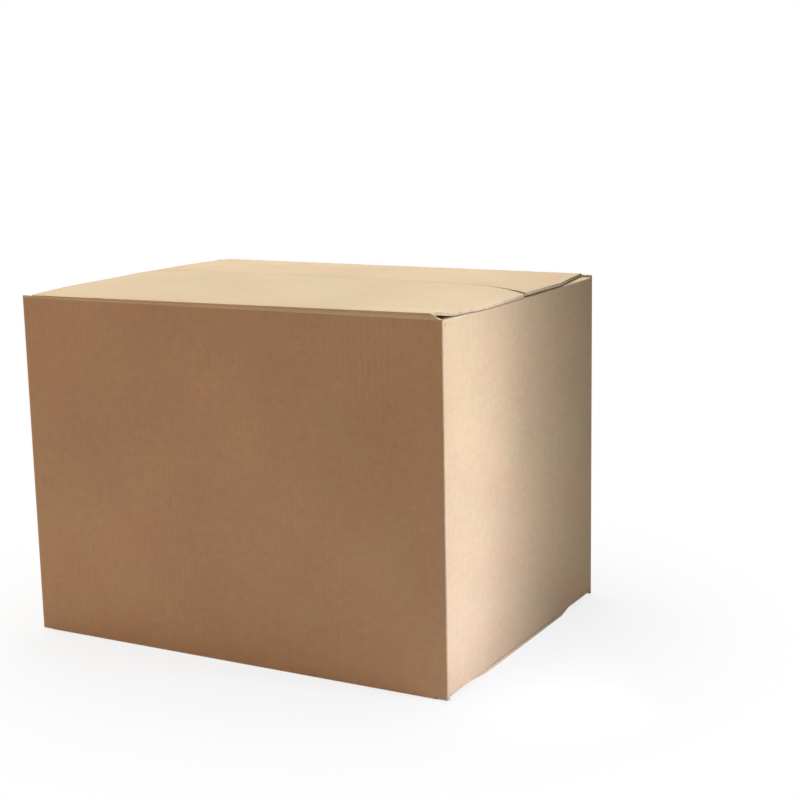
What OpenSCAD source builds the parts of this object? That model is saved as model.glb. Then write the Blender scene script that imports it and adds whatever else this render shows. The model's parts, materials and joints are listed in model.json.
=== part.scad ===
// A closed shipping carton of single-wall corrugated board. One die-cut
// blank is folded into four walls, joined by a glue tab at one corner.
// Short inner flaps and long outer flaps close the bottom and the top.
// X runs along the front, Y from front to back, Z up. The origin is on the
// floor, under the middle of the box.

/* [Box] */
// Outside width of the box, along the front
box_w = 452; // [340:1:700]
// Outside depth of the box, from front to back
box_d = 332; // [180:1:440]
// Height of the closed box at the ends of its outer flaps
box_h = 335; // [120:1:600]

/* [Board] */
// Thickness of the corrugated board
board = 3; // [2:0.1:5]
// Outside radius of the folds
fold_r = 1.9; // [0.8:0.1:2]
// Distance from one flute to the next
flute_pitch = 6.35; // [5:0.05:9]
// Thickness of the paper on each face of the board
liner = 0.4; // [0.2:0.05:0.6]
// Thickness of the waved paper between the two faces
medium = 0.35; // [0.2:0.05:0.6]
// How deep the open flute ends are cut into the edge of a flap
flute_depth = 3; // [1:0.5:8]

/* [Outer flaps] */
// Gap between the two outer flaps along the seam
seam_gap = 0.6; // [0.4:0.1:5]
// How much wider the seam opens at each end of the box
seam_flare = 1.8; // [0:0.1:4]
// How far the ends of the outer flaps stop short of the side walls
flap_inset = 0.4; // [0:0.1:3]
// How far the ends of the outer flaps are cut back at their fold
flap_cutback = 12; // [6:0.5:20]
// Distance from the fold at which that cut runs out
cutback_run = 80; // [20:1:85]
// How high the closed flaps bow up along the seam
seam_bow = 7.5; // [0:0.1:15]
// How flat the bow is in the middle and how sharply it drops at its ends
bow_power = 8; // [2:1:12]
// How much higher the back flap stays than the front flap at the seam's right end
back_lift = 1.2; // [0:0.1:4]

/* [Hinge folds] */
// How much higher the front fold runs at its right end than at its left
front_rise = 4.1; // [0:0.1:8]
// Depth of the fold line below the outer face of the board
crease_in = 0.6; // [0.3:0.1:1]
// How far an outer flap folds back from closed, in degrees
fold_back = 240; // [180:1:245]
// Clearance between an outer flap and what it closes on
fit_gap = 0.3; // [0.2:0.05:0.8]

/* [Slots and joint] */
// Gap between the ends of the inner flaps and the front and back walls
slot_gap = 1.5; // [0.5:0.1:5]
// Gap between the end of an outer flap's fold and the corner beside it
slot_clear = 1; // [0.5:0.1:3]
// How far the cut corners stay below the top and above the floor
corner_drop = 1; // [0.5:0.1:2]
// Width of the glue tab
tab_w = 35; // [20:1:60]
// Slope of the tab's two ends, in degrees
tab_slope = 15; // [0:1:30]
// Open strip beside the cut edge of the back wall, at the glued corner
joint_gap = 1; // [0:0.1:2]

/* [Hidden] */

half_w = box_w / 2;
half_d = box_d / 2;
// The inner flaps close first, so the outer flaps lie on top of them
inner_top = box_h - board - fit_gap;
// All flaps of one blank have the same length, half the box's depth
flap_len = half_d;
// Half widths of an outer flap at its fold and past the cut-back
fold_half = half_w - flap_cutback;
end_half = half_w - flap_inset;
// Half width of the slotted stretch on top of the front and back walls
slot_half = fold_half + slot_clear;
// Half width of an inner flap
inner_half = half_d - board - slot_gap;
// A slanted edge on each side of the fold line leaves room to fold back
crease_angle = (270 - fold_back) / 2 - 2;
crease_run = crease_in / tan(crease_angle);
// The mitre inside the fold line is opened by this much
mitre_gap = fit_gap * sqrt(2);
// The flap's slant runs through the fold line. This is where it meets the
// mitre, across and along the face of the board.
tip = mitre_gap / 2 / (cos(crease_angle) + sin(crease_angle));
tip_in = tip * sin(crease_angle);
tip_along = tip * cos(crease_angle);
// Behind a climbing fold, the flap's right end is pressed down again between
// these two distances from the front face
press_from = 2 * board;
press_to = press_from + 0.4 * cutback_run;
// Grid of the bowed flaps: steps across, denser towards the ends, and steps
// over the stretch that is pressed down
bow_steps = 36;
press_steps = 4;
// How soon the lifted end of the back flap comes down along the seam
lift_power = 12;
// Long enough to cut right through the board
past = 1;

kraft = [0.72, 0.57, 0.42];
kraft_light = [0.79, 0.66, 0.50];

// Board folded at a right angle, seen in section: a square of board with a
// round outside corner at the origin
module fold_section() {
    translate([fold_r, fold_r]) circle(r = fold_r, $fn = 48);
    translate([fold_r, 0]) square([board - fold_r, board]);
    translate([0, fold_r]) square([board, board - fold_r]);
}

// The four walls seen from above, open where the back wall meets the corner
module wall_section() {
    translate([-half_w + board, -half_d])
        square([box_w - 2 * board, board]);
    translate([half_w - board, -half_d + board])
        square([board, box_d - 2 * board]);
    translate([-half_w + joint_gap, half_d - board])
        square([box_w - board - joint_gap, board]);
    translate([-half_w, -half_d + board])
        square([board, box_d - 3 * board]);
    translate([-half_w, -half_d]) fold_section();
    translate([half_w, -half_d]) mirror([1, 0]) fold_section();
    translate([half_w, half_d]) rotate(180) fold_section();
    translate([-half_w, half_d - board]) mirror([0, 1]) fold_section();
}

// A straight section on its side, so that its x runs along +Y, its y along
// +Z and its length along X, centred
module along_x(length) {
    rotate([90, 0, 90]) linear_extrude(length, center = true) children();
}

// How far a fold that climbs by rise along the box has climbed at x
function climb(x, rise) = rise * (x + fold_half) / (2 * fold_half);

// Top of the front wall, which follows a climbing fold and slants down to
// the corner beside it
module wall_top(rise) {
    foot = box_h - 2 * board;
    shoulder = box_h - corner_drop + climb(slot_half, rise);
    rotate([90, 0, 0]) translate([0, 0, -board]) linear_extrude(board)
        polygon([
            [-slot_half, foot], [half_w - board, foot],
            [half_w - board, box_h - corner_drop], [slot_half, shoulder],
            [slot_half, shoulder + past], [-slot_half, box_h]
        ]);
}

// Room for the fold of an outer flap on top of the front wall: slanted
// outside the fold line and mitred inside it
module crease_room(rise) {
    translate([-fold_half, 0, box_h])
        rotate([0, -atan(rise / (2 * fold_half)), 0])
        translate([fold_half, 0, 0])
        along_x(2 * slot_half)
        polygon([
            [-past, -crease_in - crease_run],
            [0, -crease_in - crease_run],
            [crease_in, -crease_in - mitre_gap / 2],
            [board, -board - mitre_gap / 2],
            [board + past, -board - mitre_gap / 2],
            [board + past, board],
            [-past, board]
        ]);
}

// The walls with the slots between the flaps, standing on the floor
module walls() {
    side_half = inner_half + slot_gap / 2;
    rises = [front_rise, 0];
    difference() {
        union() {
            translate([0, 0, corner_drop])
                linear_extrude(box_h - 2 * corner_drop) wall_section();
            for (side = [0, 1]) mirror([0, side, 0])
                translate([0, -half_d, 0]) wall_top(rises[side]);
        }
        for (side = [0, 1]) mirror([0, side, 0]) translate([0, -half_d, 0]) {
            crease_room(rises[side]);
            translate([-slot_half, -past, -past])
                cube([2 * slot_half, board + past, board + past]);
        }
        for (side = [0, 1]) mirror([side, 0, 0]) translate([-half_w, -side_half, 0]) {
            translate([-past, 0, inner_top - board])
                cube([board + past, 2 * side_half, 2 * board + past]);
            translate([-past, 0, -past])
                cube([board + past, 2 * side_half, 2 * board + past]);
        }
    }
}

// Outline of an outer flap, with its fold along the X axis
module outer_outline() {
    reach = flap_len - seam_gap / 2;
    polygon([
        [-fold_half, board], [fold_half, board],
        [end_half, cutback_run], [end_half, reach],
        [-end_half, reach], [-end_half, cutback_run]
    ]);
}

// Both inner flaps of one end of the box, between z = 0 and z = board, with
// the round of their folds at the bottom
module inner_flaps() {
    for (side = [0, 1]) mirror([side, 0, 0]) translate([-half_w, 0, 0]) {
        rotate([90, 0, 0]) linear_extrude(2 * inner_half, center = true) fold_section();
        translate([board, -inner_half, 0])
            cube([flap_len - board, 2 * inner_half, board]);
    }
}

// The two outer flaps that close the bottom
module bottom_flaps() {
    for (side = [0, 1]) mirror([0, side, 0]) translate([0, -half_d, 0]) {
        along_x(2 * fold_half) fold_section();
        linear_extrude(board) outer_outline();
    }
}

// The tab folded in from the left wall and glued behind the back wall
module glue_tab() {
    low = 2 * board + slot_gap;
    high = inner_top - board - slot_gap;
    rise = (tab_w - board) * tan(tab_slope);
    translate([-half_w, half_d - board, 0]) rotate([90, 0, 0]) linear_extrude(board)
        polygon([
            [board, low], [tab_w, low + rise],
            [tab_w, high - rise], [board, high]
        ]);
}

// Everything that stays put when the outer top flaps open
module body() {
    color(kraft) {
        walls();
        glue_tab();
        bottom_flaps();
        translate([0, 0, board]) inner_flaps();
        translate([0, 0, inner_top]) mirror([0, 0, 1]) inner_flaps();
    }
}

// Height of a closed outer flap above box_h. The board is straight along
// its flutes, from the fold to the seam, and bends only across them, apart
// from the right end that is pressed down behind a climbing fold. x is the
// place along the box and u the distance from the front face. rise is how
// far the fold climbs, and lift how far the seam's right end stays up.
function seam_rise(x, lift) =
    seam_bow * (1 - pow(abs(x) / half_w, bow_power))
    + lift * pow(max(0, x) / half_w, lift_power);
function pressed(x, u) =
    let (run = min(1, max(0, u - press_from) / (press_to - press_from)))
    min(1, pow(max(0, x) / fold_half, bow_power)) * run * run * (3 - 2 * run);
function crown(x, u, rise, lift) =
    let (part = min(1, max(0, u - board) / (flap_len - board)))
    climb(x, rise) * (1 - part) * (1 - pressed(x, u)) + seam_rise(x, lift) * part;

// Distance of the free edge from the front face, and the flap's half width
function free_edge(x) =
    flap_len - seam_gap / 2 - seam_flare / 2 * pow(abs(x) / half_w, bow_power);
function half_at(u) = end_half - (end_half - fold_half) * max(0, 1 - u / cutback_run);

// One place on the flap. s goes from -1 at its left end to 1 at its right
// end, u is the distance from the front face and level the height at rest
// without the crown.
function flap_point(s, u, level, rise, lift) =
    [s * half_at(u), u - half_d, level + crown(s * half_at(u), u, rise, lift)];

// The section of the flap at one place along it: over the top from the
// crease to the free edge, and back along the underside to the crease
function flap_section(s, rise, lift) =
    let (x = s * fold_half, crease = box_h - crease_in + climb(x, rise),
        last = rise == 0 ? -1 : press_steps,
        rows = [
            for (k = [0:1:last])
            press_from + (press_to - press_from) * k / press_steps
        ],
        outward = concat(rows, [cutback_run, free_edge(s * end_half)]),
        n = len(outward))
    [
        [x, crease_in + tip_along - half_d, crease + tip_in],
        flap_point(s, crease_in + crease_run, box_h, rise, lift),
        for (i = [0:n - 1]) flap_point(s, outward[i], box_h, rise, lift),
        for (i = [0:n - 1]) flap_point(s, outward[n - 1 - i], box_h - board, rise, lift),
        flap_point(s, board + mitre_gap / 2, box_h - board, rise, lift),
        [x, (crease_in + board + mitre_gap) / 2 - half_d, crease - (board - crease_in) / 2]
    ];

// Skin over a row of sections that have the same number of points
module skin(sections) {
    n = len(sections[0]);
    last = len(sections) - 1;
    sides = [
        for (i = [0:last - 1], j = [0:n - 1])
        let (k = (j + 1) % n)
        each [
            [i * n + j, i * n + k, (i + 1) * n + j],
            [i * n + k, (i + 1) * n + k, (i + 1) * n + j]
        ]
    ];
    // An end is closed by strips between its upper and its lower edge
    function end_cap(a, flip) = [
        for (j = [0:n / 2 - 2])
        let (far = n - 1 - j, strip = [[j, far, j + 1], [far, far - 1, j + 1]])
        each [for (t = strip) [a + t[0], a + t[flip ? 2 : 1], a + t[flip ? 1 : 2]]]
    ];
    polyhedron([for (s = sections) each s],
        concat(end_cap(0, false), sides, end_cap(last * n, true)));
}

// The hollow of one flute beside a face of the board, in section. The waved
// paper closes it below and the face closes it above.
module flute_hollow() {
    wave = board / 2 - liner - medium / 2;
    shares = [-0.4, -0.22, 0, 0.22, 0.4];
    polygon([
        for (share = shares)
        [share * flute_pitch,
            min(board / 2 - liner, medium / 2 - wave * cos(360 * share))]
    ]);
}

// Open flute ends along the free edge of a flap: one hollow above and one
// below the waved paper for each flute
module flute_ends(lift) {
    count = floor(2 * (end_half - flute_pitch) / flute_pitch);
    for (k = [0:count]) {
        x = (k - count / 2) * flute_pitch;
        for (face = [0, 1]) {
            middle = x + face * flute_pitch / 2;
            if (middle < end_half - flute_pitch / 2) {
                step = flute_pitch / 4;
                drop = seam_rise(middle + step, lift) - seam_rise(middle - step, lift);
                slope = atan(drop / (2 * step));
                translate([middle, free_edge(middle) - half_d + past,
                        box_h - board / 2 + seam_rise(middle, lift)])
                    rotate([90, -slope, 0])
                    linear_extrude(flute_depth + past)
                    mirror([0, face]) flute_hollow();
            }
        }
    }
}

// An outer flap of the top, closed, with its fold at the front
module outer_flap(rise, lift) {
    difference() {
        skin([
            for (i = [0:bow_steps])
            flap_section(sin(180 * i / bow_steps - 90), rise, lift)
        ]);
        flute_ends(lift);
    }
}

module front_flap() {
    color(kraft_light) outer_flap(front_rise, 0);
}

module back_flap() {
    color(kraft_light) mirror([0, 1, 0]) outer_flap(0, back_lift);
}

body();
front_flap();
back_flap();
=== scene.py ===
# %% [markdown]
# # A closed carton of corrugated board
#
# A shipping carton is one sheet of corrugated board, cut and creased flat and
# then folded up. We model it in the same order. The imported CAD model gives
# every size and stays hidden behind the board that we make here, and the two
# outer top flaps stay pieces of their own, because they open and close.

# %% Load the frame
import json
import math

import bpy
from mathutils import Matrix, Vector

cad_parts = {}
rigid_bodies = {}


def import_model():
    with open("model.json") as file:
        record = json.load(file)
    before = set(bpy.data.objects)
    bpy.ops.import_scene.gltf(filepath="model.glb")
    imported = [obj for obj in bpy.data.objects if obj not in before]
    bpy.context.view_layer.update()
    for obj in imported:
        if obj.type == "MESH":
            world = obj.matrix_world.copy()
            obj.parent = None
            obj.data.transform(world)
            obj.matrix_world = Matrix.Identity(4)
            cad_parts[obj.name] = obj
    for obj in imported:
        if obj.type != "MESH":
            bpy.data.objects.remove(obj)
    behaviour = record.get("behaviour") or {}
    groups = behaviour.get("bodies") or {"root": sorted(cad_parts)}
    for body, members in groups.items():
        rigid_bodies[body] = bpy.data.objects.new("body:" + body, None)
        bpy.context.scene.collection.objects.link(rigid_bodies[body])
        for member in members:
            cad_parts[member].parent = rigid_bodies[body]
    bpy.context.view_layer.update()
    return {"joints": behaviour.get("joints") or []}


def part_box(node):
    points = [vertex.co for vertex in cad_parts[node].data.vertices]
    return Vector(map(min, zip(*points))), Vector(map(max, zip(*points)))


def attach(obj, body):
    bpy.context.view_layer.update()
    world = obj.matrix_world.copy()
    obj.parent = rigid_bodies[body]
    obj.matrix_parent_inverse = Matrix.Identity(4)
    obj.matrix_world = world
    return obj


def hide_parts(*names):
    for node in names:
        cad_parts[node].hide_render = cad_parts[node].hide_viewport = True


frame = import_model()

MM = 0.001

# %% [markdown]
# The driving sizes are read from the frame where it holds them: the outside of
# the box from the CAD body, and the height of the closed flaps from the hinge
# line of the back flap. What the frame can't say, such as the thickness of the
# paper, is written once here, in metres. Names that end in half are distances
# from the middle of the box, and a gap is the play between two layers or edges.
# A crease goes crease_in deep, and strip_high is how far below it the board was
# scored. The outer flaps are cut back over cutback_run beside their folds, and
# the corner posts end corner_drop short of the top and the bottom.

# %% Sizes
body_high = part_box("body")[1]
half_w, half_d = body_high.x, body_high.y
folds = {joint["name"]: joint for joint in frame["joints"]}
crease_in, strip_high = 0.6 * MM, 2.4 * MM
box_h = folds["back_flap_fold"]["pos_m"][2] + crease_in

board = 3 * MM
liner, medium = 0.4 * MM, 0.35 * MM
flute_pitch, flute_depth = 6.35 * MM, 3 * MM
fold_r = 1.9 * MM
layer_gap = 0.3 * MM
mitre_gap = layer_gap * math.sqrt(2)
inner_top = box_h - board - layer_gap
crease_z = box_h - crease_in

flap_len = half_d
fold_half, end_half = half_w - 12 * MM, half_w - 0.4 * MM
slot_half = fold_half + 1 * MM
inner_gap = 1.5 * MM
inner_half = half_d - board - inner_gap
side_slot = inner_half + inner_gap / 2
cutback_run = 80 * MM
corner_drop = 1 * MM
seam_gap, seam_flare = 0.6 * MM, 1.8 * MM
tab_w, tab_strip = 35 * MM, 1 * MM
front_climb = folds["front_flap_fold"]["axis"][2] / folds["front_flap_fold"]["axis"][0]
print("box", 2 * half_w, 2 * half_d, box_h, "front fold climbs", front_climb * 2 * fold_half)

# %% [markdown]
# Most steps below select something, then act on it. Selecting by hand means
# clicking. In a script it means asking every vertex, edge or face one question,
# so each helper takes that question as a small test. Nothing else may stay
# selected, because an operator acts on all that is selected.

# %% Helpers for selecting and moving
def only(piece):
    """Makes this piece the one that is selected and active, in object mode."""
    if bpy.context.object and bpy.context.object.mode != "OBJECT":
        bpy.ops.object.mode_set(mode="OBJECT")
    for other in bpy.context.view_layer.objects:
        other.select_set(False)
    piece.select_set(True)
    bpy.context.view_layer.objects.active = piece


def pick(piece, kind, test):
    """Enters edit mode with only the parts of one kind selected that pass the test."""
    only(piece)
    mesh = piece.data
    for part in (mesh.vertices, mesh.edges, mesh.polygons):
        part.foreach_set("select", [False] * len(part))
    part = {"VERT": mesh.vertices, "EDGE": mesh.edges, "FACE": mesh.polygons}[kind]
    chosen = [item for item in part if test(item)]
    for item in chosen:
        item.select = True
        for index in getattr(item, "vertices", []):
            mesh.vertices[index].select = True
    bpy.context.tool_settings.mesh_select_mode = [kind == k for k in ("VERT", "EDGE", "FACE")]
    bpy.ops.object.mode_set(mode="EDIT")
    return len(chosen)


def near(a, b, reach=0.05 * MM):
    """True where two numbers are the same place."""
    return abs(a - b) < reach


def finish_edit(piece):
    """Back to object mode, with the piece's place in its mesh."""
    only(piece)
    bpy.ops.object.transform_apply(location=True, rotation=True, scale=True)
    piece.data.update()


# %% [markdown]
# ## The blank
#
# The blank is the flat sheet as it leaves the die cutter: four walls in a row,
# a glue tab at one end, and flaps above and below. We stand a plane up in the
# plane of the front wall, cut it along every crease and slot line with bisect,
# and delete what the die would stamp out. Along the sheet, u is 0 in the middle
# of the front wall. Up the sheet, v is the height above the floor.

# %% Lines of the blank
right_mid = half_w + half_d
back_mid = 2 * (half_w + half_d)
left_mid = -right_mid
right_fold, back_fold = half_w, half_w + 2 * half_d
tab_fold = -half_w - 2 * half_d + board
back_end = back_mid + half_w - tab_strip
tab_end = tab_fold - tab_w
post_tab = tab_fold - board
tab_low, tab_high = 2 * board + inner_gap, inner_top - board - inner_gap
shoulder_u = half_w - board

v_outer = seam_gap / 2 - flap_len
v_inner = board - flap_len
v_inner_top = inner_top + flap_len
v_ridge = crease_z - mitre_gap / 2
v_score = crease_z - strip_high
post_top, post_low = box_h - corner_drop, corner_drop

u_lines = [tab_end, post_tab, tab_fold, -right_fold, right_fold, back_fold, back_end, shoulder_u]
u_lines += [mid + side * a for mid in (0, back_mid) for side in (-1, 1)
            for a in (fold_half, slot_half)]
u_lines += [mid + side * a for mid in (left_mid, right_mid) for side in (-1, 1)
            for a in (inner_half, side_slot)]
v_lines = [v_outer, v_inner, -cutback_run, 0, post_low, board, 2 * board, tab_low, tab_high,
           inner_top - board, inner_top, v_score, post_top, v_ridge, v_inner_top]
print(len(u_lines), "lines across the blank and", len(v_lines), "along it")


# %% Cut the blank out of the sheet
def on_blank(u, v):
    """True where the die leaves board standing."""
    if not tab_end < u < back_end:
        return False
    if u < post_tab:
        return tab_low < v < tab_high
    if u < tab_fold:
        return post_low < v < post_top
    if -half_w < u < half_w or u > back_fold:
        a = abs(u - (0 if u < half_w else back_mid))
        if a < fold_half:
            return v_outer < v < v_ridge
        if a < slot_half:
            return board < v < v_ridge
        shoulder = slot_half < u < shoulder_u and v < v_ridge
        return post_low < v and (v < post_top or shoulder)
    a = abs(u - (right_mid if u > 0 else left_mid))
    if a < inner_half:
        return v_inner < v < v_inner_top
    if a < side_slot:
        return 2 * board < v < inner_top - board
    return post_low < v < post_top


bpy.ops.mesh.primitive_plane_add(size=1, rotation=(math.pi / 2, 0, 0))
carton = bpy.context.object
carton.name = carton.data.name = "carton_board"
sheet_low, sheet_high = (tab_end, v_outer), (back_end, v_inner_top)
carton.scale = (sheet_high[0] - sheet_low[0], sheet_high[1] - sheet_low[1], 1)
carton.location = ((sheet_low[0] + sheet_high[0]) / 2, -half_d, (sheet_low[1] + sheet_high[1]) / 2)
finish_edit(carton)
pick(carton, "FACE", lambda face: True)
for u in u_lines:
    bpy.ops.mesh.select_all(action="SELECT")
    bpy.ops.mesh.bisect(plane_co=(u, 0, 0), plane_no=(1, 0, 0))
for v in v_lines:
    bpy.ops.mesh.select_all(action="SELECT")
    bpy.ops.mesh.bisect(plane_co=(0, 0, v), plane_no=(0, 0, 1))
stamped = pick(carton, "FACE", lambda face: not on_blank(face.center.x, face.center.z))
bpy.ops.mesh.delete(type="FACE")
only(carton)
print(stamped, "faces stamped out,", len(carton.data.polygons), "left")

# %% [markdown]
# Some edges of the die aren't square. The bottom flaps are cut back towards
# their folds, the glue tab's ends slope, and on this carton the front fold
# doesn't follow its crease: it climbs to the right, and the corner beside it
# slants down as a small shoulder. Those vertices are moved in the flat sheet.

# %% Slant the edges that aren't square
tab_slope = (tab_w - board) * math.tan(math.radians(15))


def shift(test, offset):
    """Moves the blank's vertices that pass the test."""
    count = pick(carton, "VERT", lambda vert: test(vert.co.x, vert.co.z))
    bpy.ops.transform.translate(value=offset)
    only(carton)
    return count


def climb(x):
    """How far the front fold has climbed at x."""
    return front_climb * (x + fold_half)


moved = 0
for mid in (0, back_mid):
    for side in (-1, 1):
        edge = mid + side * fold_half
        moved += shift(lambda u, v: near(u, edge) and v < 0.5 * MM - cutback_run,
                       (side * (end_half - fold_half), 0, 0))
moved += shift(lambda u, v: near(u, tab_end) and near(v, tab_low), (0, 0, tab_slope))
moved += shift(lambda u, v: near(u, tab_end) and near(v, tab_high), (0, 0, -tab_slope))
moved += shift(lambda u, v: near(u, shoulder_u) and near(v, v_ridge), (0, 0, post_top - v_ridge))
for vert in carton.data.vertices:
    if near(vert.co.z, v_ridge) and abs(vert.co.x) < half_w:
        vert.co.z += climb(vert.co.x)
    if near(vert.co.z, v_score) and abs(vert.co.x) < half_w:
        vert.co.z += climb(vert.co.x) / 3
pick(carton, "VERT", lambda vert: True)
bpy.ops.mesh.remove_doubles(threshold=0.02 * MM)
only(carton)
print(moved, "corners moved")

# %% [markdown]
# While the sheet is flat, its UV map is simply its own u and v in metres. The
# map stays with the faces when they fold, so paper grain and flute lines will
# run through every crease unbroken, as they do on real board.

# %% Keep the flat sheet as its UV map
def map_flat(piece, place):
    """Writes the piece's UV map, in metres, from a function of each vertex."""
    layer = piece.data.uv_layers.get("blank") or piece.data.uv_layers.new(name="blank")
    piece.data.uv_layers.active = layer
    for loop in piece.data.loops:
        layer.data[loop.index].uv = place(piece.data.vertices[loop.vertex_index].co)


for layer in list(carton.data.uv_layers):
    carton.data.uv_layers.remove(layer)
map_flat(carton, lambda co: (co.x, co.z))
flat = [vert.co.copy() for vert in carton.data.vertices]
print("blank is", round(sheet_high[0] - sheet_low[0], 3), "by", round(sheet_high[1] - sheet_low[1], 3))

# %% [markdown]
# ## Folding
#
# Each fold turns all that lies beyond one line by a right angle. The flaps go
# first, while every fold line still lies in the front plane. Then the walls go
# round, and each takes what hangs on it along. With no window the rotate
# operator turns the other way, so the helper gives it the negative angle.

# %% Fold the blank into a box
def fold(test, axis, centre, degrees):
    """Turns the vertices whose flat place passes the test about a fold line."""
    pick(carton, "VERT", lambda vert: test(flat[vert.index].x, flat[vert.index].z))
    bpy.ops.transform.rotate(value=-math.radians(degrees), orient_axis=axis, center_override=centre)
    only(carton)


def on_long_wall(u):
    """True on the front and back walls, which carry the outer flaps."""
    return -half_w < u < half_w or u > back_fold


hair = 0.01 * MM


def on_side_flap(u):
    """True over the width of an inner flap, on the side walls."""
    return min(abs(u - right_mid), abs(u - left_mid)) < inner_half + hair


fold(lambda u, v: on_long_wall(u) and v < -hair, "X", (0, -half_d, 0), 90)
fold(lambda u, v: on_side_flap(u) and v < board - hair, "X", (0, -half_d, board), 90)
fold(lambda u, v: on_side_flap(u) and v > inner_top + hair, "X", (0, -half_d, inner_top), -90)
fold(lambda u, v: u > right_fold + hair, "Z", (half_w, -half_d, 0), 90)
fold(lambda u, v: u > back_fold + hair, "Z", (half_w, half_d, 0), 90)
fold(lambda u, v: u < -half_w - hair, "Z", (-half_w, -half_d, 0), -90)
fold(lambda u, v: u < tab_fold - hair, "Z", (-half_w, half_d - board, 0), -90)
xs, ys, zs = zip(*(vert.co for vert in carton.data.vertices))
print("folded box", [round(x, 4) for x in (min(xs), max(xs), min(ys), max(ys), min(zs), max(zs))])

# %% [markdown]
# ## Thickness, creases and cut edges
#
# The folded sheet is the outer face of the board. Above their score lines the
# front and back walls lean in towards the ridge, by the depth of the crease,
# because the board was bent a little higher up than it was scored. Every vertex
# between the two lines takes its share, so the leaning strip stays flat. Then
# Solidify gives the sheet its thickness towards the inside, with one material
# for the inner face and one for the cut edges.

# %% Give the board its thickness
def ridge_at(co):
    """Height of the ridge on top of the front and back walls."""
    return v_ridge + (climb(co.x) if co.y < 0 else 0)


def slant_part(co):
    """0 at the score line of the front or back wall and 1 on its ridge, or 0 elsewhere."""
    if abs(co.x) > slot_half + hair or not near(abs(co.y), half_d):
        return 0
    score = v_score + (climb(co.x) / 3 if co.y < 0 else 0)
    return min(1, max(0, (co.z - score) / (ridge_at(co) - score)))


for vert in carton.data.vertices:
    vert.co.y -= math.copysign(crease_in * slant_part(vert.co), vert.co.y)
pick(carton, "FACE", lambda face: True)
bpy.ops.mesh.dissolve_limited(angle_limit=math.radians(0.2), use_dissolve_boundaries=False)
only(carton)
outer_count = len(carton.data.vertices)
thick = carton.modifiers.new("thickness", "SOLIDIFY")
thick.thickness = board
thick.offset = -1
thick.use_even_offset = True
thick.use_quality_normals = True
thick.material_offset = 1
thick.material_offset_rim = 2
bpy.ops.object.modifier_apply(modifier="thickness")


def mark_depth(piece, outer):
    """Writes how deep in the board each vertex lies: 0 on the outer face, 1 on the inner."""
    depth = piece.data.attributes.new("depth", "FLOAT", "POINT")
    depth.data.foreach_set("value", [0.0 if i < outer else 1.0 for i in range(len(depth.data))])


mark_depth(carton, outer_count)
print(outer_count, "corners outside,", len(carton.data.vertices), "in all")

# %% [markdown]
# Behind the ridge the board is mitred, so that the outer flap can close into
# it. The inner corner of each wall's top edge goes down to the foot of that
# mitre, and so does the shoulder beside the climbing fold's high end. Inner
# corners that meet there are merged. Board that is creased and folded keeps a
# sharp inner corner, while its outer paper runs round a small radius, so only
# the outer fold lines are bevelled, and only now that the thickness is there.

# %% Mitre the top edges and round the folds
mitre_foot = box_h - board - mitre_gap / 2
below_foot = 4 * MM
for vert in carton.data.vertices[outer_count:]:
    lift = climb(vert.co.x) if vert.co.y < 0 else 0
    reach = slot_half + (0.5 * MM if lift > corner_drop else hair)
    top_row = vert.co.z > inner_top - 1 * MM and abs(vert.co.x) < reach
    if not top_row or not near(abs(vert.co.y), half_d - board, 1 * MM):
        continue
    on_top = vert.co.z > v_ridge + lift - 1 * MM
    vert.co.y = math.copysign(half_d - board, vert.co.y)
    vert.co.z = mitre_foot + lift - (0 if on_top else below_foot)
pick(carton, "VERT", lambda vert: vert.index >= outer_count)
bpy.ops.mesh.remove_doubles(threshold=0.02 * MM)
only(carton)


def on_fold(co):
    """Which of the blank's rounded folds a point of the outer face lies on, or 0."""
    long_side, short_side = near(abs(co.y), half_d), near(abs(co.x), half_w)
    if long_side and short_side and (co.x > 0 or co.y < 0):
        return 1
    if near(co.x, -half_w) and near(co.y, half_d - board):
        return 2
    if long_side and near(co.z, 0):
        return 3
    if short_side and near(co.z, board) and abs(co.y) < inner_half + hair:
        return 4
    if short_side and near(co.z, inner_top) and abs(co.y) < inner_half + hair:
        return 5
    return 0


def is_fold_edge(edge):
    """True for an edge of the outer face that runs along a fold."""
    if max(edge.vertices) >= outer_count:
        return False
    a, b = (on_fold(carton.data.vertices[i].co) for i in edge.vertices)
    return a == b and a > 0


rounded = pick(carton, "EDGE", is_fold_edge)
bpy.ops.mesh.bevel(offset=fold_r, segments=5, affect="EDGES", clamp_overlap=False)
only(carton)
print(rounded, "fold edges rounded to", fold_r / MM, "mm")

# %% [markdown]
# ## Open flutes
#
# Where board is cut across its flutes, the edge is a row of small arches: a
# waved paper between two flat ones. A texture could only paint them, and from
# close by a painted edge stays flat. So each such edge gets a pit, made with
# inset and extrude, that leaves the two face papers standing, and a waved
# ribbon of paper goes into the pit.

# %% Materials by name, and the tools for a cut edge
wave_steps, pit_play = 12, 0.05 * MM
finish_names = ("kraft_outside", "kraft_inside", "cut_edge", "kraft_strip_painted_light", "flute_paper")
finishes = {name: bpy.data.materials.new(name) for name in finish_names}


def dress(piece, *names):
    """Gives the piece these materials, in the order of its slots."""
    piece.data.materials.clear()
    for name in names:
        piece.data.materials.append(finishes[name])


def open_edge(piece, test, into):
    """Sinks a pit into the edge faces that pass the test."""
    pick(piece, "FACE", test)
    bpy.ops.mesh.inset(thickness=liner, use_even_offset=True)
    push = [flute_depth * part for part in into]
    bpy.ops.mesh.extrude_region_move(TRANSFORM_OT_translate={"value": push})
    only(piece)


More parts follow.
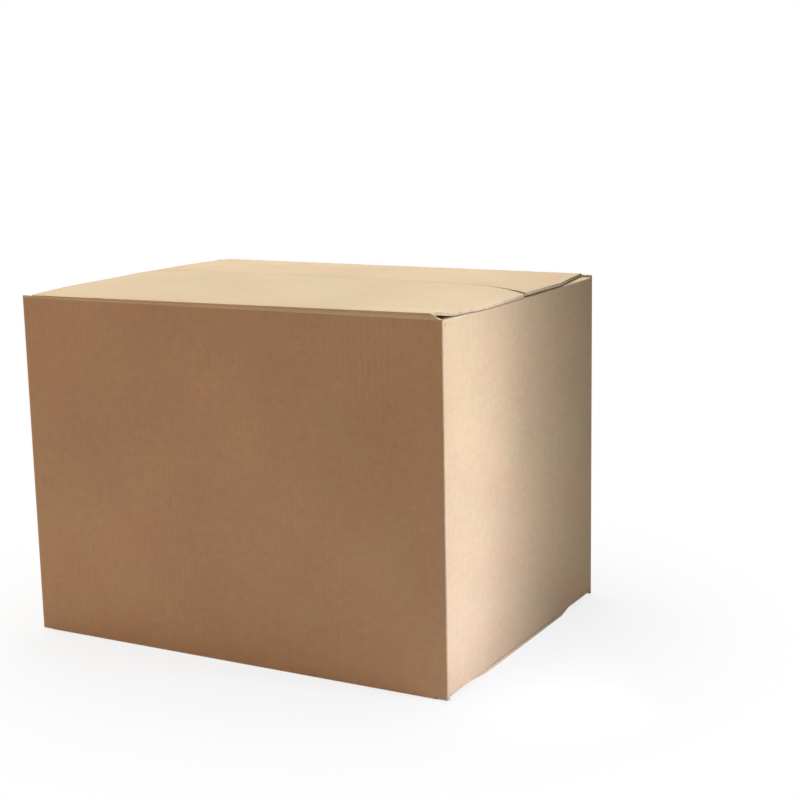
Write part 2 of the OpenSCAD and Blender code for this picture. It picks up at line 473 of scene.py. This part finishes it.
def wave_ribbon(place, length, up, into):
    """A ribbon of waved paper along an edge. place gives the edge's middle line."""
    steps = max(4, round(wave_steps * length / flute_pitch))
    bpy.ops.mesh.primitive_grid_add(x_subdivisions=steps, y_subdivisions=1, size=1)
    ribbon = bpy.context.object
    height = board / 2 - liner - medium / 2
    for vert in ribbon.data.vertices:
        along = vert.co.x * length
        deep = (vert.co.y + 0.5) * (flute_depth - 2 * pit_play) + pit_play
        wave = height * math.cos(2 * math.pi * along / flute_pitch)
        vert.co = Vector(place(along)) + Vector(up) * wave + Vector(into) * deep
    dress(ribbon, "flute_paper")
    only(ribbon)
    wall = ribbon.modifiers.new("paper", "SOLIDIFY")
    wall.thickness, wall.offset = medium, 0
    bpy.ops.object.modifier_apply(modifier="paper")
    pick(ribbon, "FACE", lambda face: True)
    bpy.ops.mesh.normals_make_consistent(inside=False)
    only(ribbon)
    return ribbon


def join(piece, parts):
    """Joins the parts into the piece."""
    only(piece)
    for part in parts:
        part.select_set(True)
    bpy.ops.object.join()


def straight(middle, direction):
    """A place function for an edge that runs straight through a middle point."""
    return lambda along: Vector(middle) + Vector(direction) * along


dress(carton, "kraft_outside", "kraft_inside", "cut_edge", "kraft_strip_painted_light")
print(len(finishes), "finishes, to be mixed later")

# %% [markdown]
# The strips that lean in between a score line and its ridge catch more light from
# above than the wall below them, and their paper is painted paler for that light:
# a painted highlight. Their faces are found by how they lie, and get a paper of
# their own.

# %% Give the leaning strips their paper, painted paler for the light they catch
def on_strip(face):
    """True for a face of the outer paper between a score line and its ridge."""
    leans = 0.05 < face.normal.z < 0.9 and near(abs(face.center.y), half_d, crease_in)
    return face.material_index == 0 and leans and face.center.z > v_score


strips = [face for face in carton.data.polygons if on_strip(face)]
for face in strips:
    face.material_index = finish_names.index("kraft_strip_painted_light")
print(len(strips), "faces in the leaning strips")

# %% [markdown]
# On the carton's fixed part the flutes stand up in the walls, run front to back
# in the bottom's outer flaps, and from side to side in the inner flaps. So the
# open ends show on the free edges of all flaps and on top of the four corner
# posts between the slots.

# %% Open the free edges of the fixed flaps and the tops of the posts
flap_edge = half_w - flap_len
ribbons = []
for side in (-1, 1):
    for level in (board, inner_top - board):
        middle = (side * flap_edge, 0, level + board / 2)
        open_edge(carton, lambda face: near(face.center.x, middle[0])
                  and near(face.center.z, middle[2], 1 * MM), (side, 0, 0))
        ribbons.append(wave_ribbon(straight(middle, (0, 1, 0)), 2 * (inner_half - liner),
                                   (0, 0, 1), (side, 0, 0)))
    open_edge(carton, lambda face: near(face.center.y, side * seam_gap / 2)
              and near(face.center.z, board / 2, 1 * MM), (0, side, 0))
    ribbons.append(wave_ribbon(straight((0, side * seam_gap / 2, board / 2), (1, 0, 0)),
                               2 * (end_half - liner), (0, 0, 1), (0, side, 0)))
    for end in (-1, 1):
        open_edge(carton, lambda face: near(face.center.z, post_top) and face.normal.z > 0.9
                  and side * face.center.y > 0.1 and end * face.center.x > 0.1, (0, 0, -1))
        corner = (end * (half_w + slot_half - board) / 2, side * (half_d - board / 2), post_top)
        ribbons.append(wave_ribbon(straight(corner, (1, 0, 0)), half_w - slot_half - board,
                                   (0, 1, 0), (0, 0, -1)))
join(carton, ribbons)
print(len(ribbons), "ribbons of waved paper in the carton's edges")

# %% [markdown]
# ## The outer top flaps
#
# A flap of board is stiff along its flutes and weak across them. These two were
# closed without tape, so each stays straight from its fold to the seam, and
# bows up along the box. That is a ruled surface, and a grid whose vertices are
# put on it row by row follows it exactly. A lattice or a bend modifier would
# have to be tuned by eye to meet the fold at one edge and the bow at the other.
# Two corners break the rule: behind the climbing fold the right end is pressed
# down again, and the back flap's right end stays up a little at the seam.

# %% The flap's surface
seam_bow, bow_power = 7.5 * MM, 8
back_lift, lift_power = 1.2 * MM, 12
press_from = 2 * board
press_to = press_from + 0.4 * cutback_run
crease_angle = math.radians(13)
crease_run = crease_in / math.tan(crease_angle)
tip = mitre_gap / 2 / (math.cos(crease_angle) + math.sin(crease_angle))
tip_in, tip_along = tip * math.sin(crease_angle), tip * math.cos(crease_angle)
flap_rows = [crease_in + tip_along, crease_in + crease_run]
flap_rows += [press_from + (press_to - press_from) * k / 8 for k in range(9)]
flap_rows += [58 * MM, cutback_run, 105 * MM, 130 * MM, 150 * MM, flap_len]
flap_columns = 160
row_step = 2 * MM


def seam_rise(x, lift):
    """How far a closed flap bows up at the seam. lift is what its right end stays up."""
    bow = seam_bow * (1 - (abs(x) / half_w) ** bow_power)
    return bow + lift * (max(0, x) / half_w) ** lift_power


def pressed(x, u):
    """0 where the flap has the height of its fold and 1 where it is pressed down again."""
    run = min(1, max(0, u - press_from) / (press_to - press_from))
    return min(1, (max(0, x) / fold_half) ** bow_power) * run * run * (3 - 2 * run)


def free_edge(x):
    """Distance of the flap's free edge from the face of the box that carries it."""
    return flap_len - seam_gap / 2 - seam_flare / 2 * (abs(x) / half_w) ** bow_power


def flap_place(across, u, level, climbs, lift):
    """A point of the flap. across runs from -1 to 1 and u is the distance from the fold's face."""
    half = end_half - (end_half - fold_half) * max(0, 1 - u / cutback_run)
    x = across * half
    part = min(1, max(0, u - board) / (flap_len - board))
    crown = climbs * climb(x) * (1 - part) * (1 - pressed(x, u)) + seam_rise(x, lift) * part
    return Vector((x, u - half_d, level + crown))


def make_flap(name, climbs, lift):
    """One outer top flap, closed, with its fold at the front. climbs is 1 where that fold climbs."""
    bpy.ops.mesh.primitive_grid_add(x_subdivisions=flap_columns,
                                    y_subdivisions=len(flap_rows) - 1, size=1)
    flap = bpy.context.object
    flap.name = flap.data.name = name
    grid = [(2 * v.co.x, round((v.co.y + 0.5) * (len(flap_rows) - 1))) for v in flap.data.vertices]
    only(flap)
    wall = flap.modifiers.new("thickness", "SOLIDIFY")
    wall.thickness, wall.offset = board, -1
    wall.material_offset, wall.material_offset_rim = 1, 2
    dress(flap, "kraft_outside", "kraft_inside", "cut_edge")
    bpy.ops.object.modifier_apply(modifier="thickness")
    for index, vert in enumerate(flap.data.vertices):
        across, row = grid[index % len(grid)]
        below = index >= len(grid)
        u = free_edge(across * end_half) if row == len(flap_rows) - 1 else flap_rows[row]
        if below and row < 2:
            u = board + mitre_gap / 2 + row * row_step
        vert.co = flap_place(across, u, box_h - (board if below else 0), climbs, lift)
        if row == 0 and not below:
            x = across * fold_half
            vert.co = (x, u - half_d, crease_z + tip_in + climbs * climb(x))
    mark_depth(flap, len(grid))
    flap.data.update()
    return flap


print("flap grid", flap_columns, "by", len(flap_rows) - 1)

# %% [markdown]
# The free edges get the same pit and ribbon as the fixed flaps. The back flap is
# the front flap's mirror image, apart from its level fold and the lift at its
# right end. Mirroring turns a mesh inside out, so its faces are flipped back.

# %% Make both flaps
def finish_flap(flap, lift):
    """Opens the flutes along the free edge and maps the flap as part of the blank."""
    open_edge(flap, lambda face: face.normal.y > 0.9 and face.center.y > -2 * MM, (0, -1, 0))

    def edge(x):
        return x, free_edge(x) - half_d, box_h - board / 2 + seam_rise(x, lift)

    ribbon = wave_ribbon(edge, 2 * (end_half - 1.5 * liner), (0, 0, 1), (0, -1, 0))
    join(flap, [ribbon])
    map_flat(flap, lambda co: (co.x, box_h + co.y + half_d))


def mirror_to_back(flap):
    """Mirrors a flap from the front of the box to its back."""
    pick(flap, "FACE", lambda face: True)
    bpy.ops.transform.mirror(constraint_axis=(False, True, False), center_override=(0, 0, 0))
    bpy.ops.mesh.flip_normals()
    only(flap)


front_flap = make_flap("front_flap_board", 1, 0)
finish_flap(front_flap, 0)
back_flap = make_flap("back_flap_board", 0, back_lift)
finish_flap(back_flap, back_lift)
mirror_to_back(back_flap)
map_flat(back_flap, lambda co: (back_mid - co.x, box_h + half_d - co.y))
for flap in (front_flap, back_flap):
    highest = max(vert.co.z for vert in flap.data.vertices)
    print(flap.name, len(flap.data.polygons), "faces, highest", round(highest, 4))

# %% [markdown]
# ## The creases
#
# Along each hinge line the outer paper runs on from the wall into the flap. When
# the flap turns, that paper only rolls, so a thin roll of paper on the hinge line
# looks right at every angle. It stays with the carton. The edges round its two
# ends are bevelled, and those along it are left alone.

# %% Roll the paper over both hinge lines
roll_r = 0.9 * crease_in


def crease_roll(name, joint):
    """A thin roll of paper on a flap's hinge line."""
    axis = Vector(joint["axis"]).normalized()
    middle = Vector(joint["pos_m"])
    middle -= axis * (middle.x / axis.x)
    bpy.ops.mesh.primitive_cylinder_add(vertices=16, radius=roll_r, depth=2 * fold_half)
    roll = bpy.context.object
    roll.name = roll.data.name = name
    roll.rotation_mode = "QUATERNION"
    roll.rotation_quaternion = axis.to_track_quat("Z", "Y")
    roll.location = middle
    finish_edit(roll)

    def round_an_end(edge):
        sides = {roll.data.vertices[index].co.x > 0 for index in edge.vertices}
        return len(sides) == 1

    pick(roll, "EDGE", round_an_end)
    bpy.ops.mesh.bevel(offset=0.15 * MM, segments=2, affect="EDGES")
    only(roll)
    dress(roll, "kraft_outside")
    return roll


front_roll = crease_roll("front_crease", folds["front_flap_fold"])
back_roll = crease_roll("back_crease", folds["back_flap_fold"])
map_flat(front_roll, lambda co: (co.x, box_h + co.y + half_d))
map_flat(back_roll, lambda co: (back_mid - co.x, box_h + half_d - co.y))
print("crease rolls of", round(2 * roll_r / MM, 2), "mm")

# %% [markdown]
# ## Smooth folds, flat walls
#
# The round folds should shade as round, and the walls as flat. Smoothing by
# angle does the first, but lets the fold's shading bleed over the whole wall.
# The Weighted Normal modifier gives large faces the say over the normals that
# they share with narrow ones, and is applied like any other.

# %% Shade every piece
def shade(piece):
    """Smooth folds between flat faces."""
    only(piece)
    bpy.ops.object.shade_smooth_by_angle(angle=math.radians(35))
    weigh = piece.modifiers.new("normals", "WEIGHTED_NORMAL")
    weigh.keep_sharp = True
    bpy.ops.object.modifier_apply(modifier="normals")


pieces = [carton, front_flap, back_flap, front_roll, back_roll]
for piece in pieces:
    shade(piece)
print(len(pieces), "pieces shaded")

# %% [markdown]
# ## Tools for materials
#
# Every finish here is the same brown paper seen in another state, so its parts
# are node groups: built once, with named inputs, and placed in each material
# with other values. Wiring nodes in code is wordy, so each small helper makes one
# kind of node, feeds its sockets with numbers or other sockets, and returns its
# output.

# %% Helpers for node trees
def feed(tree, socket, value):
    """Links a socket to another one, or sets its value."""
    if isinstance(value, bpy.types.NodeSocket):
        tree.links.new(value, socket)
    else:
        socket.default_value = value


def calc(tree, operation, *values):
    """A Math node's output."""
    node = tree.nodes.new("ShaderNodeMath")
    node.operation = operation
    for socket, value in zip(node.inputs, values):
        feed(tree, socket, value)
    return node.outputs[0]


def ramp(tree, value, start, end, low=0.0, high=1.0):
    """Maps a value from start..end to low..high, smoothly and clamped."""
    node = tree.nodes.new("ShaderNodeMapRange")
    node.interpolation_type = "SMOOTHSTEP"
    for name, number in (("Value", value), ("From Min", start), ("From Max", end),
                         ("To Min", low), ("To Max", high)):
        feed(tree, node.inputs[name], number)
    return node.outputs[0]


def noise(tree, place, scale, detail, stretch=(1, 1, 1)):
    """A noise pattern from about 0 to 1, with its scale along each axis."""
    mapping = tree.nodes.new("ShaderNodeMapping")
    feed(tree, mapping.inputs["Vector"], place)
    mapping.inputs["Scale"].default_value = stretch
    node = tree.nodes.new("ShaderNodeTexNoise")
    feed(tree, node.inputs["Vector"], mapping.outputs[0])
    node.inputs["Scale"].default_value = scale
    node.inputs["Detail"].default_value = detail
    return node.outputs["Fac"]


def tint(tree, colour, shade_by):
    """A colour made lighter or darker by a value."""
    node = tree.nodes.new("ShaderNodeVectorMath")
    node.operation = "SCALE"
    feed(tree, node.inputs[0], colour)
    feed(tree, node.inputs["Scale"], shade_by)
    return node.outputs[0]


def blend_colours(tree, factor, first, second):
    """Mixes two colours."""
    node = tree.nodes.new("ShaderNodeMix")
    node.data_type = "RGBA"
    feed(tree, node.inputs["Factor"], factor)
    feed(tree, node.inputs["A"], first)
    feed(tree, node.inputs["B"], second)
    return node.outputs["Result"]


def node_group(name, inputs, outputs):
    """A new node group, with its own input and output nodes."""
    group = bpy.data.node_groups.new(name, "ShaderNodeTree")
    new_socket = group.interface.new_socket
    for label, kind, value in inputs:
        socket = new_socket(name=label, in_out="INPUT", socket_type="NodeSocket" + kind)
        if value is not None:
            socket.default_value = value
    for label, kind in outputs:
        new_socket(name=label, in_out="OUTPUT", socket_type="NodeSocket" + kind)
    given = group.nodes.new("NodeGroupInput").outputs
    return group, given, group.nodes.new("NodeGroupOutput").inputs


def place_group(tree, group, **values):
    """Places a node group in a tree, with its inputs fed by name."""
    node = tree.nodes.new("ShaderNodeGroup")
    node.node_tree = group
    for name, value in values.items():
        feed(tree, node.inputs[name], value)
    return node.outputs


print("node helpers ready")

# %% [markdown]
# ### Kraft paper
#
# Kraft paper is brown all through. What makes it look like paper is a slow
# cloudiness from the pulp that is now redder and now greener, a finer mottle,
# long fibres that run with the machine, and a few dark specks of bark. The group
# is given a place in metres: on the face papers the flat sheet's UV map, and in
# the cut edges the place in the piece. So a scale of 120 means patterns a little
# under a hundredth of a metre across.

# %% The kraft paper group
kraft_brown = (0.533, 0.352, 0.202)
cloud_scale, drift_scale, bark_scale, mottle_scale, cell_scale, fibre_scale = 7, 13, 60, 120, 260, 1000
redder, greener = (1.015, 0.985, 0.985, 1), (0.985, 1.01, 0.99, 1)
kraft, given, gives = node_group(
    "kraft paper",
    [("Place", "Vector", None), ("Colour", "Color", (*kraft_brown, 1)), ("Cloud", "Float", 0.10),
     ("Mottle", "Float", 0.10), ("Fibre", "Float", 0.12), ("Specks", "Float", 0.25)],
    [("Colour", "Color"), ("Roughness", "Float"), ("Height", "Float")])
place = given["Place"]
cloud = calc(kraft, "SUBTRACT", noise(kraft, place, cloud_scale, 2), 0.5)
mottle = calc(kraft, "SUBTRACT", noise(kraft, place, mottle_scale, 3), 0.5)
fibre = calc(kraft, "SUBTRACT", noise(kraft, place, fibre_scale, 3, (1, 0.22, 1)), 0.5)
shade_of = calc(kraft, "MULTIPLY_ADD", cloud, given["Cloud"], 0.5)
shade_of = calc(kraft, "MULTIPLY_ADD", mottle, given["Mottle"], shade_of)
shade_of = calc(kraft, "MULTIPLY_ADD", fibre, given["Fibre"], shade_of)
shade_of = calc(kraft, "MULTIPLY", shade_of, 2)
cells = kraft.nodes.new("ShaderNodeTexVoronoi")
cells.inputs["Scale"].default_value = cell_scale
feed(kraft, cells.inputs["Vector"], place)
rare = calc(kraft, "GREATER_THAN", noise(kraft, place, bark_scale, 2), 0.62)
speck = calc(kraft, "MULTIPLY", ramp(kraft, cells.outputs["Distance"], 0.10, 0.22, 1, 0), rare)
speck = calc(kraft, "MULTIPLY", speck, given["Specks"])
shade_of = calc(kraft, "MULTIPLY", shade_of, calc(kraft, "SUBTRACT", 1, speck))
drift = ramp(kraft, noise(kraft, place, drift_scale, 3), 0.35, 0.65)
hue = blend_colours(kraft, drift, redder, greener)
hued = kraft.nodes.new("ShaderNodeVectorMath")
hued.operation = "MULTIPLY"
feed(kraft, hued.inputs[0], given["Colour"])
feed(kraft, hued.inputs[1], hue)
feed(kraft, gives["Colour"], tint(kraft, hued.outputs[0], shade_of))
feed(kraft, gives["Roughness"], calc(kraft, "MULTIPLY_ADD", mottle, 0.25, 0.8))
feed(kraft, gives["Height"], calc(kraft, "MULTIPLY_ADD", mottle, 0.6, fibre))
print("kraft paper:", len(kraft.nodes), "nodes")

# %% [markdown]
# ### The flutes show through
#
# The waved paper is glued to the face paper along the crest of each wave. There
# the face is held, and between the crests it sinks in a little as the glue
# dries. So a faint washboard with the pitch of the flutes runs along the board.
# It fades in and out, because the glue and the pressure were never even. Besides
# the bump, the paper's colour is darkened and lightened along the wave: painted
# shade of that relief.

# %% The washboard group
washboard, given, gives = node_group(
    "washboard", [("Place", "Vector", None), ("Strength", "Float", 0.05)],
    [("Shade", "Float"), ("Height", "Float")])
place = given["Place"]
parts = washboard.nodes.new("ShaderNodeSeparateXYZ")
feed(washboard, parts.inputs[0], place)
drift = calc(washboard, "MULTIPLY_ADD", noise(washboard, place, 25, 2, (1, 0.4, 1)), 1.4,
             calc(washboard, "MULTIPLY", parts.outputs["X"], 2 * math.pi / flute_pitch))
wave = calc(washboard, "COSINE", drift)
uneven = ramp(washboard, noise(washboard, place, 14, 3, (1, 0.35, 1)), 0.35, 0.7, 0.15, 1)
wave = calc(washboard, "MULTIPLY", wave, uneven)
feed(washboard, gives["Height"], wave)
# Shade darkens and lightens the colour along the wave: painted shade of the relief.
feed(washboard, gives["Shade"], calc(washboard, "MULTIPLY_ADD", wave, given["Strength"], 1))
print("washboard:", len(washboard.nodes), "nodes")

# %% [markdown]
# ### Rubbed folds
#
# A fold is where board gets rubbed: the fibres stand up and look paler. The
# folds of the walls lie at the same two distances left and right of the middle
# of the front wall, and the flaps' folds at the blank's heights 0 and the
# height of the box, so a few Math nodes give the distance to the nearest fold.

# %% The rubbed fold group
rubbed, given, gives = node_group(
    "rubbed folds", [("Place", "Vector", None), ("Reach", "Float", 0.003)], [("Mask", "Float")])
parts = rubbed.nodes.new("ShaderNodeSeparateXYZ")
feed(rubbed, parts.inputs[0], given["Place"])
from_middle = calc(rubbed, "ABSOLUTE", parts.outputs["X"])
fold_lines = [(from_middle, half_w), (from_middle, back_fold),
              (parts.outputs["Y"], 0), (parts.outputs["Y"], box_h)]
gaps = [calc(rubbed, "ABSOLUTE", calc(rubbed, "SUBTRACT", at, line)) for at, line in fold_lines]
nearest = gaps[0]
for gap in gaps[1:]:
    nearest = calc(rubbed, "MINIMUM", nearest, gap)
ragged = noise(rubbed, given["Place"], 90, 4)
reach = calc(rubbed, "MULTIPLY", given["Reach"], calc(rubbed, "MULTIPLY", ragged, 1.6))
feed(rubbed, gives["Mask"], ramp(rubbed, nearest, 0, reach, 1, 0))
print("rubbed folds:", len(rubbed.nodes), "nodes")

# %% [markdown]
# ## The finishes
#
# Five materials use those groups. The outer paper has all three, and so has its
# sister on the leaning strips, painted paler as painted light from above. The
# inner paper is a little duller, with a stronger washboard. The cut edge shows the
# layers: its attribute runs from 0 at the outer face to 1 at the inner one, and its
# darker middle is partly the waved paper's own brown and partly painted shade of the
# gaps between flutes. The waved paper is the darkest, as it lies in its own shade
# and is a rawer pulp.

# %% Outer and inner paper
relief = 0.06 * MM
rub_reach, rub_share = 3 * MM, 0.55


def start_finish(name):
    """The node tree of the named material, and its Principled shader."""
    finish = finishes[name]
    finish.use_nodes = True
    tree = finish.node_tree
    shader = next(node for node in tree.nodes if node.type == "BSDF_PRINCIPLED")
    return tree, shader


def bump(tree, height, distance, under=None):
    """A Bump node's normal. Its distance is in metres."""
    node = tree.nodes.new("ShaderNodeBump")
    node.inputs["Strength"].default_value = 1
    node.inputs["Distance"].default_value = distance
    feed(tree, node.inputs["Height"], height)
    if under:
        feed(tree, node.inputs["Normal"], under)
    return node.outputs[0]


def paper_finish(name, colour, worn_colour, cloudy, washboard_shade, washed_depth):
    """A face paper: kraft, washboard and rubbed folds together."""
    tree, shader = start_finish(name)
    uv = tree.nodes.new("ShaderNodeUVMap")
    uv.uv_map = "blank"
    place = uv.outputs[0]
    lines = place_group(tree, washboard, Place=place, Strength=washboard_shade)
    paper = place_group(tree, kraft, Place=place, Colour=(*colour, 1), Cloud=cloudy)
    worn = place_group(tree, rubbed, Place=place, Reach=rub_reach)
    mask = calc(tree, "MULTIPLY", worn["Mask"], rub_share)
    # the washboard's Shade is painted shade along the flutes
    colour = tint(tree, paper["Colour"], lines["Shade"])
    feed(tree, shader.inputs["Base Color"], blend_colours(tree, mask, colour, (*worn_colour, 1)))
    feed(tree, shader.inputs["Roughness"], paper["Roughness"])
    shader.inputs["Specular IOR Level"].default_value = 0.3
    waves = bump(tree, lines["Height"], washed_depth)
    feed(tree, shader.inputs["Normal"], bump(tree, paper["Height"], relief, under=waves))


paper_finish("kraft_outside", kraft_brown, (0.66, 0.49, 0.32),
             cloudy=0.16, washboard_shade=0.018, washed_depth=0.06 * MM)
paper_finish("kraft_inside", (0.47, 0.31, 0.18), (0.52, 0.37, 0.23),
             cloudy=0.2, washboard_shade=0.05, washed_depth=0.12 * MM)
# This paper is painted paler than the wall's: painted light from above on the leaning strips.
paper_finish("kraft_strip_painted_light", (0.68, 0.52, 0.29), (0.70, 0.55, 0.35),
             cloudy=0.16, washboard_shade=0.018, washed_depth=0.06 * MM)
print("three face papers")

# %% Cut edge and waved paper
# The darker middle of a cut edge is partly the waved paper's own browner colour and partly painted shade
# of the gaps between the flutes.
edge_brown, core_and_gap_shade_brown = (0.64, 0.46, 0.29, 1), (0.42, 0.28, 0.16, 1)
flute_brown = (0.40, 0.26, 0.145, 1)
core_sink = 0.4 * MM
tree, shader = start_finish("cut_edge")
where = tree.nodes.new("ShaderNodeTexCoord").outputs["Object"]
depth = tree.nodes.new("ShaderNodeAttribute")
depth.attribute_name = "depth"
ragged = calc(tree, "MULTIPLY_ADD", noise(tree, where, 700, 2), 0.12, -0.06)
level = calc(tree, "ADD", depth.outputs["Fac"], ragged)
from_middle = calc(tree, "ABSOLUTE", calc(tree, "SUBTRACT", level, 0.5))
core = ramp(tree, from_middle, 0.26, 0.38, 1, 0)
patchy = ramp(tree, noise(tree, where, 420, 2), 0.35, 0.65, 0.1, 0.6)
core = calc(tree, "MULTIPLY", core, patchy)
paper = place_group(tree, kraft, Place=where, Colour=edge_brown, Cloud=0.12, Mottle=0.3)
dark = place_group(tree, kraft, Place=where, Colour=core_and_gap_shade_brown, Cloud=0.2, Mottle=0.3)
feed(tree, shader.inputs["Base Color"], blend_colours(tree, core, paper["Colour"], dark["Colour"]))
feed(tree, shader.inputs["Roughness"], paper["Roughness"])
shader.inputs["Specular IOR Level"].default_value = 0.2
sunk = calc(tree, "MULTIPLY", core, -1)
feed(tree, shader.inputs["Normal"], bump(tree, sunk, core_sink))

tree, shader = start_finish("flute_paper")
where = tree.nodes.new("ShaderNodeTexCoord").outputs["Object"]
paper = place_group(tree, kraft, Place=where, Colour=flute_brown, Cloud=0.2, Mottle=0.3)
feed(tree, shader.inputs["Base Color"], paper["Colour"])
feed(tree, shader.inputs["Roughness"], paper["Roughness"])
shader.inputs["Specular IOR Level"].default_value = 0.2
feed(tree, shader.inputs["Normal"], bump(tree, paper["Height"], relief))
print("cut edge and waved paper")

# %% [markdown]
# ## Onto the frame
#
# The carton stands for the CAD body and each flap for its own CAD node. Each
# rides on that body, so the flaps turn about the CAD model's hinge lines. The
# rolls stay with the carton, because the hinge line doesn't move.

# %% Ride and replace
for piece, body in ((carton, "body"), (front_flap, "front_flap"), (back_flap, "back_flap"),
                    (front_roll, "body"), (back_roll, "body")):
    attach(piece, body)
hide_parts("body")
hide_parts("front_flap")
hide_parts("back_flap")

# %% [markdown]
# ## Camera
#
# The photograph gives the view: from the right of the front, a little above
# the box, and tilted by about one degree. The camera's place, its three angles
# and its lens were found by fitting the corners of the box that can be seen. Its
# axes are built from the three angles.

# %% Put the camera where the photographer stood
eye = Vector((0.8223, -1.3360, 0.5266))
azimuth, elevation, roll = (math.radians(a) for a in (28.61, 11.17, -1.125))
forward = Vector((-math.sin(azimuth) * math.cos(elevation),
                  math.cos(azimuth) * math.cos(elevation), -math.sin(elevation)))
level_right = Vector((math.cos(azimuth), math.sin(azimuth), 0))
level_up = level_right.cross(forward)
right = math.cos(roll) * level_right + math.sin(roll) * level_up
up = math.cos(roll) * level_up - math.sin(roll) * level_right
turned = Matrix((right, up, -forward)).transposed()
bpy.ops.object.camera_add(location=eye, rotation=turned.to_euler())
camera = bpy.context.object
camera.data.lens = 72.26
camera.data.sensor_width = 36
camera.data.clip_start = 0.01
bpy.context.scene.camera = camera
print("camera", tuple(round(x, 3) for x in eye), "lens", camera.data.lens)

# %% [markdown]
# ## Light
#
# Cool daylight falls on the top from a wide source. A tall soft strip stands
# beside the right wall, just behind its near corner. It can't reach the front
# wall, and across the right wall it falls off towards the back, as in the
# photograph. Low down a strip has no lower half to help it, so a small lamp at
# its foot makes up for that. The front wall gets only what comes off the warm
# pale floor and a weak warm fill, so it stays the darker and browner side. The
# back and the left wall get a fill like it, for the views from behind.

# %% Lamps and world
def soft_light(name, place, target, size, watts, colour):
    """A rectangular area light that faces a target."""
    bpy.ops.object.light_add(type="AREA", location=place)
    lamp = bpy.context.object
    lamp.name = name
    lamp.rotation_mode = "QUATERNION"
    lamp.rotation_quaternion = (Vector(target) - Vector(place)).to_track_quat("-Z", "Y")
    lamp.data.shape = "RECTANGLE"
    lamp.data.size, lamp.data.size_y = size
    lamp.data.energy = watts
    lamp.data.color = colour
    lamp.visible_camera = False
    return lamp


sky_blue, strip_blue, foot_blue = (0.68, 0.87, 1.0), (0.70, 0.80, 1.0), (0.58, 0.68, 1.0)
warm = (1.0, 0.38, 0.10)
soft_light("daylight", (-0.25, 0.15, 1.75), (0, 0, 0.3), (1.6, 1.6), 48, sky_blue)
for name, x, y in (("front_fill", -0.5, -2.2), ("back_fill", -0.5, 2.2), ("left_fill", -2.2, 0.3)):
    soft_light(name, (x, y, 0.9), (0, 0, 0.15), (1.2, 1.2), 10.3, warm)
beside = 0.03 - half_d
strip = soft_light("strip", (0.43, beside, 0.30), (half_w, beside, 0.28), (0.04, 0.44), 0.80, strip_blue)
foot = soft_light("foot", (0.40, beside, 0.05), (half_w, beside, 0.05), (0.04, 0.09), 0.21, foot_blue)
for lamp in (strip, foot):
    lamp.data.spread = math.radians(140)

world = bpy.context.scene.world or bpy.data.worlds.new("studio")
bpy.context.scene.world = world
world.use_nodes = True
tree = world.node_tree
background = next(node for node in tree.nodes if node.type == "BACKGROUND")
rays = tree.nodes.new("ShaderNodeLightPath").outputs
seen = calc(tree, "MAXIMUM", rays["Is Camera Ray"], calc(tree, "MAXIMUM", rays["Is Glossy Ray"],
                                                         rays["Is Transmission Ray"]))
background.inputs["Color"].default_value = (1, 1, 1, 1)
world_level = 0.02
feed(tree, background.inputs["Strength"], calc(tree, "MULTIPLY_ADD", seen, 1 - world_level, world_level))
bpy.context.scene.view_settings.view_transform = "Standard"
print("6 lamps and a pale world")

# %% [markdown]
# ## Floor
#
# The photograph has the box cut out on white. A pale floor keeps that look and
# gives the box something to stand on, with a soft shadow at its foot. To the
# camera the floor is mostly white near the box and all white further out,
# so that it runs into the white background. For bounced light it stays pale.

# %% Lay the floor
floor_z = -0.2 * MM
bpy.ops.mesh.primitive_circle_add(vertices=64, radius=6, fill_type="NGON", location=(0, 0, floor_z))
floor = bpy.context.object
floor.name = "floor"
finish_edit(floor)
pale = bpy.data.materials.new("pale_floor")
pale.use_nodes = True
tree = pale.node_tree
shader = next(node for node in tree.nodes if node.type == "BSDF_PRINCIPLED")
shader.inputs["Base Color"].default_value = (0.80, 0.75, 0.68, 1)
shader.inputs["Roughness"].default_value = 0.9
shader.inputs["Specular IOR Level"].default_value = 0.2
white = tree.nodes.new("ShaderNodeEmission")
white.inputs["Color"].default_value = (1, 1, 1, 1)
rays = tree.nodes.new("ShaderNodeLightPath").outputs
seen = calc(tree, "MAXIMUM", rays["Is Camera Ray"], rays["Is Glossy Ray"])
far_off = tree.nodes.new("ShaderNodeVectorMath")
far_off.operation = "LENGTH"
feed(tree, far_off.inputs[0], tree.nodes.new("ShaderNodeTexCoord").outputs["Object"])
fade = ramp(tree, far_off.outputs["Value"], 0.25, 0.5, 0.8, 1)
mix = tree.nodes.new("ShaderNodeMixShader")
feed(tree, mix.inputs[0], calc(tree, "MULTIPLY", seen, fade))
feed(tree, mix.inputs[1], shader.outputs[0])
feed(tree, mix.inputs[2], white.outputs[0])
output = next(node for node in tree.nodes if node.type == "OUTPUT_MATERIAL")
feed(tree, output.inputs["Surface"], mix.outputs[0])
floor.data.materials.append(pale)
print("floor laid")
